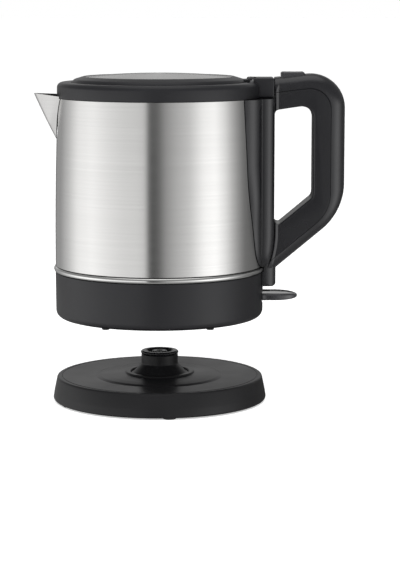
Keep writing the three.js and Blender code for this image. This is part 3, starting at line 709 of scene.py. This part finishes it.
def envelope():
    """The outside of band, trim ring, body and collar with a gap round it. It cuts what fits against them."""
    corners = [(0, -1), (BAND_R + GAP, -1), (BAND_R + GAP, BAND_TOP), (TRIM_R + GAP, BAND_TOP + 0.6),
               (TRIM_R + GAP, TRIM_TOP - 0.6)]
    corners += [(body_radius(z) + GAP, z) for z in np.linspace(BODY_FOOT, BODY_TOP, 25)]
    corners += [(COLLAR_R + GAP, BODY_TOP + 0.2), (COLLAR_R + GAP, COLLAR_TOP + 30), (0, COLLAR_TOP + 30)]
    return lathe(corners, SEGMENTS, KETTLE_Z)


def steel_body():
    """The drawn wall with its neck inside the trim ring, its way to the spout and its slot for the gauge."""
    heights = np.linspace(BODY_FOOT, BODY_TOP, 25)
    neck = 77.2
    outside = [(body_radius(z), z) for z in heights]
    inside = [(body_radius(z, SHEET), max(z, BODY_FOOT + SHEET)) for z in heights[::-1]]
    corners = [(neck - SHEET, 30), (neck, 30), (neck, TRIM_TOP - 0.2), *outside, *inside,
               (neck - SHEET, TRIM_TOP + SHEET)]
    way_out = [(-16, 138, 8), (16, 138, 8), (16, 161, 4), (-16, 161, 4)]
    pour = prism(way_out, across_x, -90, -60, lift=KETTLE_Z)
    slot = box(60, 90, -3.5, 3.5, GAUGE_BOTTOM + 3, GAUGE_TOP - 3, KETTLE_Z)
    return carve(lathe(corners, SEGMENTS, KETTLE_Z), pour, slot)


def trim_ring():
    """A half-round bead, with a flat back inside the neck."""
    low, high = BAND_TOP + 0.25, TRIM_TOP - 0.1
    middle, half = (low + high) / 2, (high - low) / 2
    core = BODY_FOOT_R - 0.5
    bead = [(core + (TRIM_R - core) * math.cos(a), middle + half * math.sin(a))
            for a in np.radians(np.linspace(-90, 90, 17))]
    return lathe([(77.6, low), *bead, (77.6, high)], SEGMENTS, KETTLE_Z)


def base_band():
    """The plastic band under the steel, with the slot for the switch lever and two ears for its pin."""
    corners = [(66, 0), (BAND_R - 0.2, 0, 5.6), (BAND_R, BAND_TOP, 0.5), (77.6, BAND_TOP), (77.6, 6),
               (74.5, 2.4), (66, 2.4)]
    ears = [box(62, 76.5, y, y + 3, 9, 20, KETTLE_Z) for y in (-17, 14)]
    band = carve(lifted_lathe(corners, 8), *ears, operation="UNION")
    slot = prism(rectangle(-13, 13, 10, 19, 2), across_x, 70, 90, lift=KETTLE_Z)
    return carve(band, slot, pin_hole(SWITCH_X, SWITCH_Z))


PILLARS = ring(62, (60, 180, 300))


def bottom_cover():
    """The kettle's underside, with screw pillars and two ears for the trip rocker."""
    corners = [(24.5, 5, 0.5), (40, 5, 2), (46, 2.75, 2), (73.8, 2.75), (75.8, 4.75), (46.8, 4.75), (41, 7),
               (24.5, 7)]
    ears = [box(47, 53, y, y + 2, 4, 17.5, KETTLE_Z) for y in (-7.5, 5.5)]
    pillars = posts(PILLARS, 4, 32.6, 3.6, KETTLE_Z)
    cover = carve(lifted_lathe(corners, 4), *ears, *pillars, operation="UNION")
    return carve(cover, *posts(PILLARS, 0, 14, 1.7, KETTLE_Z), pin_hole(ROCKER_X, ROCKER_Z, 1.6, 10))


def disc(radius, bottom, top):
    return lathe([(0, bottom), (radius, bottom), (radius, top), (0, top)], SEGMENTS, KETTLE_Z)


def socket_housing():
    corners = [(0, 18), (16.2, 18), (16.2, 11.3, 0.5), (20.5, 5.2, 0.6), (24, 5, 0.6), (24, 19.2), (0, 19.2)]
    return lathe(rounded(corners, 4, closed=False), SMALL_SEGMENTS, KETTLE_Z)


def socket_pin():
    corners = [(0, 7), (0.9, 7, 0.4), (1.4, 8, 0.4), (1.4, 17.65), (0, 17.65)]
    return lathe(rounded(corners, 4, closed=False), 32, KETTLE_Z)


def make_vessel():
    body = "kettle"
    piece(steel_body(), "steel_body_look", "brushed_steel", body)
    piece(trim_ring(), "trim_ring_look", "polished_steel", body)
    piece(base_band(), "base_band_look", "black_plastic", body)
    piece(bottom_cover(), "bottom_cover_look", "inner_plastic", body)
    piece(disc(75.85, 33, VESSEL_FLOOR), "heater_plate_look", "brushed_steel", body)
    for i in range(1, 5):
        piece(foot(f"kettle_foot_{i}", 2.8, 1.2), f"kettle_foot_{i}_look", "rubber", body)
    body = "kettle_connector"
    piece(socket_housing(), "socket_housing_look", "black_plastic", body)
    piece(socket_pin(), "socket_pin_look", "contact_brass", body)
    piece(tube(6.8, 7.9, 9, 17.65, 0.3, KETTLE_Z), "socket_ring_look", "contact_brass", body)


# ------------------------------------------------------------------ kettle: spout and filter
def spout_section(z, wall):
    """The spout's outline at one height, which widens and reaches out upwards, moved in by a wall."""
    rise = (z - SPOUT_FOOT - 2 * wall) / SPOUT_RISE
    half = max(SPOUT_HALF * rise - wall, 0.3)
    tip = SPOUT_ROOT - SPOUT_REACH * rise ** 0.8 + wall
    radius = min(8 - wall, max(8 * rise ** 0.5 - wall, 0.2), half * 0.8)
    corners = [(-60, half + 1), (tip, 0.001, radius), (-60, -half - 1)]
    return rounded(corners, 12, closed=False)


def spout():
    """A hollow beak, cut off along a slope that rises a little to its nose, and cut to fit the body."""
    wall = 1.1
    outside = [[(x, y, z) for x, y in spout_section(z, 0)] for z in np.linspace(113, 172, 24)]
    inside = [[(x, y, z) for x, y in spout_section(z, wall)] for z in np.linspace(116.5, 176, 24)]
    lip = prism([(-120, 173.5), (-60, 168.5), (-60, 200), (-120, 200)], across_y, -60, 60, lift=KETTLE_Z)
    return carve(loft(outside, KETTLE_Z), loft(inside, KETTLE_Z), envelope(), lip)


def filter_frame():
    outline = rectangle(-FILTER_HALF, FILTER_HALF, FILTER_BOTTOM, FILTER_TOP, 3)
    levels = edge_levels(1, 0.4)
    frame = plate(outline, lambda y, z, x: (FILTER_X + 1 + x, y, z), levels, lift=KETTLE_Z)
    hole = prism(inset(outline, 2.5), across_x, FILTER_X - 2, FILTER_X + 4, lift=KETTLE_Z)
    tab = box(FILTER_X + 1.5, FILTER_X + 7, -5, 5, FILTER_TOP - 2.4, FILTER_TOP - 0.9, KETTLE_Z)
    return carve(carve(frame, hole), soften(tab, 0.5), operation="UNION")


def filter_mesh():
    """Wires across and along the frame, as one object of many thin bars."""
    half, bottom, top = FILTER_HALF - 2.6, FILTER_BOTTOM + 2.6, FILTER_TOP - 2.6
    x, wire, pitch = FILTER_X + 0.9, 0.16, 1.1
    upright = [((x, y, bottom), (x, y, top)) for y in np.arange(-half + 0.6, half, pitch)]
    level = [((x + 0.2, -half, z), (x + 0.2, half, z)) for z in np.arange(bottom + 0.6, top, pitch)]
    return merged([bar(start, end, wire, 6, KETTLE_Z) for start, end in upright + level])


def merged(objects):
    """Several objects' meshes as one."""
    bm = bmesh.new()
    for obj in objects:
        bm.from_mesh(obj.data)
        bpy.data.objects.remove(obj)
    mesh = bpy.data.meshes.new("merged")
    bm.to_mesh(mesh)
    bm.free()
    whole = bpy.data.objects.new("merged", mesh)
    bpy.context.scene.collection.objects.link(whole)
    return whole


def make_spout():
    piece(spout(), "spout_look", "brushed_steel", "kettle")
    piece(filter_frame(), "filter_frame_look", "inner_plastic", "spout_filter")
    piece(filter_mesh(), "filter_mesh_look", "polished_steel", "spout_filter")


# ------------------------------------------------------------------ kettle: collar and lid
def collar():
    """The ring on the body, with a block that holds the hinge pin and lets the catch through."""
    corners = [(75.2, 164.4), (75.2, BODY_TOP + GAP), (COLLAR_R, BODY_TOP + GAP, 0.4),
               (COLLAR_R, COLLAR_TOP, 4), (66.6, COLLAR_TOP, 0.6), (66.6, 177.2), (63, 177.2, 0.4), (63, 171),
               (73, 171), (73, 164.4)]
    block = soften(box(67.2, SADDLE_X, -15, 15, BODY_TOP + GAP, 183.4, KETTLE_Z), 1.6, 4)
    whole = carve(lifted_lathe(corners, 8), carve(block, disc(64, 150, 200)), operation="UNION")
    pocket = box(60, 74.2, -10.2, 10.2, 176.6, 190, KETTLE_Z)
    catch_way = box(70, 90, -5.4, 5.4, 177.6, 180.9, KETTLE_Z)
    return carve(whole, pocket, pin_hole(HINGE_X, HINGE_Z), catch_way)


def lid_rim():
    """The lid's plastic rim, with its arm and knuckle at the hinge."""
    corners = [(56.6, 183.2), (56.6, 181.6), (58, 181.0), (63.8, 179.2), (63.8, 177.6), (66.2, 177.6, 0.3),
               (66.2, 180.2, 1.2), (64.6, 182.2, 3), (57.6, 184.3, 0.5), (56.6, 184.0)]
    arm = soften(box(61, HINGE_X, -9.6, 9.6, 178.1, 182.1, KETTLE_Z), 0.6)
    knuckle = bar((HINGE_X, -9.6, HINGE_Z), (HINGE_X, 9.6, HINGE_Z), 3.2, 48, KETTLE_Z)
    rim = carve(lifted_lathe(corners, 6), arm, knuckle, operation="UNION")
    return carve(rim, pin_hole(HINGE_X, HINGE_Z))


def lid_disc():
    """A shallow dome of brushed steel, let into the rim."""
    radius, height, fall, thickness = 56.3, 186.6, 2.6, 1.6
    top = [(r, height - fall * (r / radius) ** 2) for r in np.linspace(0, radius, 20)]
    under = [(r, z - thickness) for r, z in top[::-1]]
    return lathe(top + under, SEGMENTS, KETTLE_Z)


def lid_liner():
    corners = [(0, 169), (56, 169, 2), (61, 173, 1.5), (61, 177.2), (58.6, 177.2), (58.6, 174),
               (55, 171), (0, 171)]
    return lathe(rounded(corners, 6, closed=False), SEGMENTS, KETTLE_Z)


def make_lid():
    piece(collar(), "collar_look", "black_plastic", "kettle")
    piece(lid_rim(), "lid_rim_look", "black_plastic", "lid", ["lid_cover"])
    piece(lid_disc(), "lid_disc_look", "brushed_steel", "lid", ["lid_cover"])
    piece(lid_liner(), "lid_liner_look", "grey_plastic", "lid")
    seal = tube(61.35, 62.3, 173.6, 175.6, 0.4, KETTLE_Z, SEGMENTS)
    piece(seal, "lid_seal_look", "rubber", "lid")


# ------------------------------------------------------------------ kettle: saddle, gauge and handle
def arm_line(offset, x):
    """Height at x of the line parallel to the lower arm, at an offset from the bend's centre."""
    return BEND_Z + ((x - BEND_X) * math.sin(ARM_SLOPE) - offset) / math.cos(ARM_SLOPE)


def crest(x):
    """Height of the upper arm's top at x."""
    return 183.6 + 0.106 * (x - ARM_LEFT)


def belly(x):
    """Height of the upper arm's underside at x."""
    return 159 + 0.151 * (x - ARM_LEFT)


def handle_outline():
    """The side view of the whole handle, with small fillets where the arms' inner sides meet the saddle."""
    left, root, top = 70, arm_line(INSIDE, ARM_LEFT), belly(ARM_LEFT)
    back = HANDLE_BACK_X
    return [(left, crest(left)), (back, crest(back), 26), (back, arm_line(OUTSIDE, back), 44),
            (left, arm_line(OUTSIDE, left)), (left, root + 6), (ARM_LEFT, root + 6), (ARM_LEFT, root, 3),
            (GRIP_X, arm_line(INSIDE, GRIP_X), 6), (GRIP_X, belly(GRIP_X), 9), (ARM_LEFT, top, 3),
            (ARM_LEFT, top - 6), (left, top - 6)]


# Edge radius of each side of that outline: crest, back, underside, three hidden sides at the root,
# three inner sides, and three hidden ones again
HANDLE_EDGES = [10, 12.5, 8, 0, 0, 0, 1.6, 1.4, 1.4, 0, 0, 0]


def back_edge(z):
    """The saddle's back in side view: upright, then curving in to the tip under the lower arm."""
    return SADDLE_X - 6.9 * (max(66 - z, 0) / 32) ** 2


def arm_roots():
    """The lip round each arm where it stands on the saddle, which slopes back to the arm's side."""
    # How far the slope is out from the arm's side, and its front and back along X
    slope = [(1.0, 0.8, 1.0), (0.88, 0.4, 1.2), (0.4, 0.1, 2.05), (-0.2, 0, 3.1)]
    half_slope = [(-HANDLE_HALF - out, front, back) for out, front, back in slope]
    levels = half_slope + [(-y, front, back) for y, front, back in reversed(half_slope)]
    edge = [(back_edge(z) + GAP, z) for z in [*np.linspace(30, 67, 14), 200]]
    rings = [[(x + front, y, z) for x, z in edge] + [(x + back, y, z) for x, z in edge[::-1]]
             for y, front, back in levels]
    proud = pillow(handle_outline(), HANDLE_HALF + 1, HANDLE_EDGES, 12, 33)
    return carve(proud, loft(rings, KETTLE_Z), operation="INTERSECT")


def handle_form():
    """The handle as one rounded form."""
    form = pillow(handle_outline(), HANDLE_HALF, HANDLE_EDGES, 12, 33)
    return carve(form, arm_roots(), operation="UNION")


def handle_cavity():
    """The handle's inside, which stops short of the arms' ends at the saddle."""
    corners = inset(handle_outline(), HANDLE_WALL)
    radii = [max(r - HANDLE_WALL, 0) for r in HANDLE_EDGES]
    return carve(pillow(corners, HANDLE_HALF - HANDLE_WALL, radii, 6, 15), arm_clearance(GAP + 2.4))


def outside_parting(shift):
    """All that lies outside the parting line, which is moved outwards by shift.

    That is the grip's back, the top of the upper arm and the underside of the lower one.
    """
    x, offset = HANDLE_BACK_X - PARTING + shift, OUTSIDE - PARTING_ARM + shift

    def upper(at):
        return 172.6 + 0.12 * (at - ARM_LEFT) + shift

    corners = [(60, upper(60)), (x, upper(x), 16), (x, arm_line(offset, x), 30), (60, arm_line(offset, 60)),
               (60, -20), (200, -20), (200, 250), (60, 250)]
    return prism(corners, across_y, -20, 20, 12, KETTLE_Z)


def arm_clearance(gap=GAP):
    """The room of the saddle and of all on the body's side of it, with a gap."""
    edge = [(back_edge(z) + gap, z) for z in np.linspace(30, 67, 14)] + [(SADDLE_X + gap, 200)]
    return prism([(40, 30), *edge, (40, 200)], across_y, -40, 40, 1, KETTLE_Z)


def locating_rib():
    """A rib down the middle of the inner shell, which crosses the parting to locate the outer one."""
    rib = prism(inset(handle_outline(), HANDLE_WALL - 0.2), across_y, -1, 1, 12, KETTLE_Z)
    button_room = box(60, 114, -5, 5, 150, 200, KETTLE_Z)
    return carve(rib, outside_parting(2), arm_clearance(GAP + 2.7), button_room)


def along_screws(start, end, radius):
    """A bar along each handle screw."""
    return [bar((start, 0, z), (end, 0, z), radius, lift=KETTLE_Z) for z in HANDLE_SCREWS]


def handle_inner():
    """The shell inside the parting line, which carries the screws."""
    shell = carve(handle_form(), outside_parting(-GAP), handle_cavity(), arm_clearance())
    shell = carve(shell, locating_rib(), *along_screws(ARM_LEFT + 1, 98, 3.6), operation="UNION")
    return carve(shell, *along_screws(80, 99, 1.8))


def handle_leg():
    """The leg that runs down from the lower arm behind the band."""
    top = arm_line(OUTSIDE, FOOT_X) + 12
    corners = [(70, FOOT_BOTTOM), (FOOT_X, FOOT_BOTTOM, 2.6), (FOOT_X, top), (70, top)]
    return pillow(corners, HANDLE_HALF, [3, 8, 0, 0], 6)


def leg_cavity():
    bottom, top, inner = FOOT_BOTTOM + 2.2, arm_line(OUTSIDE, FOOT_X), FOOT_X - 2.4
    half = HANDLE_HALF - HANDLE_WALL - 1
    corners = [(60, bottom), (inner, bottom), (inner, top + 1.5), (FOOT_X + 2, top + 5), (60, top + 5)]
    return prism(corners, across_y, -half, half, 6, KETTLE_Z)


def handle_outer():
    """The shell outside the parting line with its leg, a well for the button and a slot for the catch."""
    shell = carve(handle_form(), arm_clearance())
    shell = carve(shell, handle_leg(), operation="UNION")
    shell = carve(shell, outside_parting(0), operation="INTERSECT")
    button_well = box(92.5, 111.5, -8, 8, 170, 200, KETTLE_Z)
    catch_way = box(84, 93, -5.3, 5.3, 177.7, 180.8, KETTLE_Z)
    return carve(shell, handle_cavity(), leg_cavity(), envelope(), button_well, catch_way)


# Half the saddle's width where it lies on the body, by height
WING = [(30, 2), (36, 16), (41, 26), (48, 31.5), (60, 34.6), (76, 37.4), (92, 40.4), (106, 42), (122, 42.6),
        (170, 43)]


def saddle_section(z, wall):
    """The saddle in plan: a spine with a wing on each side that curves down on to the body."""
    reach = np.mean([np.interp(z + d, *zip(*WING)) for d in (-5, -2.5, 0, 2.5, 5)])
    spine = 27 - 3 * math.log(1 + math.exp((27 - 0.78 * reach) / 3))
    back, notch = back_edge(z), 78.1
    lobe = min(10 + 0.18 * max(z - 93, 0), 0.92 * (reach - spine))
    corner = min(9.5, 0.85 * (back - notch), 0.8 * spine)
    reach, spine, back, notch = (v - wall for v in (reach, spine, back, notch))
    lobe, corner = max(lobe - wall, 0.2), max(corner - wall, 0.2)
    half = [(notch, reach, lobe), (notch, spine, 0.5), (back, spine, corner)]
    return rounded([(55, -reach), *[(x, -y, r) for x, y, r in half], *half[::-1], (55, reach)], 10)


def saddle():
    """The moulding behind the body, hollow round the gauge, and cut off below along the arm's parting."""

    def section(z, wall):
        return [(x, y, z) for x, y in saddle_section(z, wall)]

    heights = np.concatenate([np.linspace(33, 60, 19), np.linspace(63, BODY_TOP, 16)])
    blank = loft([section(z, 0) for z in heights], KETTLE_Z)
    hollow = loft([section(z, 1.9) for z in np.linspace(72, BODY_TOP - 1.4, 12)], KETTLE_Z)
    window = rectangle(-GAUGE_HALF, GAUGE_HALF, GAUGE_BOTTOM, GAUGE_TOP, 3)
    way = prism(window, across_x, 84, 90, 8, KETTLE_Z)
    below = [arm_line(OUTSIDE - PARTING_ARM, x) + 0.5 for x in (60, 100)]
    under = prism([(60, below[0]), (100, below[1]), (100, 0), (60, 0)], across_y, -60, 60, 1, KETTLE_Z)
    return carve(blank, hollow, envelope(), way, under, *along_screws(80, 90, 1.8))


def gauge_window():
    side = GAUGE_HALF - GAP
    corners = rectangle(-side, side, GAUGE_BOTTOM + GAP, GAUGE_TOP - GAP, 2.6)
    levels = [(0, -4.6), (0, 3.9), (0.2, 4.4), (0.7, 4.7)]
    pane = plate(corners, lambda y, z, x: (82.7 + x, y, z), levels, 8, KETTLE_Z)
    channel = box(70, 84.5, -2.6, 2.6, GAUGE_BOTTOM + 3, GAUGE_TOP - 3, KETTLE_Z)
    return carve(pane, channel, envelope())


def gauge_marks():
    """Level marks beside the window, one for each quarter of a litre, and longer ones at the halves."""
    marks = []
    for quarter in GAUGE_QUARTERS:
        z = VESSEL_FLOOR + LITRE * quarter / 4
        reach = 9.5 if quarter % 2 == 0 else 7.6
        marks.append(box(SADDLE_X - 0.3, SADDLE_X + 0.15, -reach, -5.4, z - 0.35, z + 0.35, KETTLE_Z))
    return merged(marks)


def lid_button():
    """A button with a flange under the cover, a dished top and a pocket for its spring."""
    levels = [(-1.5, 178.2), (-1.5, 179.6), (0, 179.6), (0, 186.6), (0.3, 187.2), (0.9, 187.6), (2.4, 187.75),
              (4, 187.6)]
    button = plate(rectangle(93, 111, -7.5, 7.5, 2), across_z, levels, 6, KETTLE_Z)
    return carve(button, bar((102, 0, 177), (102, 0, 181.9), 5, lift=KETTLE_Z))


def make_handle():
    body = "kettle"
    piece(saddle(), "saddle_look", "satin_plastic", body)
    piece(gauge_window(), "gauge_window_look", "window", body)
    piece(gauge_marks(), "gauge_marks_look", "grey_plastic", body, [])
    piece(handle_inner(), "handle_inner_look", "satin_plastic", body, sharp=25)
    piece(handle_outer(), "handle_outer_look", "satin_plastic", body, sharp=25)
    piece(lid_button(), "lid_button_look", "gloss_plastic", "lid_button")


# ------------------------------------------------------------------ kettle: switch
def lever_plan():
    """The lever from above: narrow inside the band, with a half-oval outside it."""
    tip = [(90 + 16.5 * math.cos(a), 12 * math.sin(a)) for a in np.linspace(-math.pi / 2, math.pi / 2, 25)]
    return [(61, -11.5), (78, -11.5, 2), (79.4, -12), *tip, (79.4, 12), (78, 11.5, 2), (61, 11.5)]


def switch_lever():
    """A paddle that thins towards its tip, with a raised rim round its top."""

    def place(x, y, z):
        return x, y, SWITCH_Z + z * (1 - 0.45 * (max(x - 84, 0) / 22.5) ** 3)

    levels = [(2.2, -2.6), (1.0, -2.4), (0.25, -1.7), (0, -0.6), (0, 1.4), (0.3, 2.4), (0.9, 3.0),
              (1.6, 2.95), (2.4, 2.2)]
    return carve(plate(lever_plan(), place, levels, 4, KETTLE_Z), pin_hole(SWITCH_X, SWITCH_Z))


def make_switch():
    piece(switch_lever(), "switch_lever_look", "gloss_plastic", "switch_lever")


make_camera()
make_studio()
make_floor()
make_softbox()
dress_cad_nodes()
make_base()
make_vessel()
make_spout()
make_lid()
make_handle()
make_switch()

bpy.context.scene.view_settings.view_transform = "Standard"
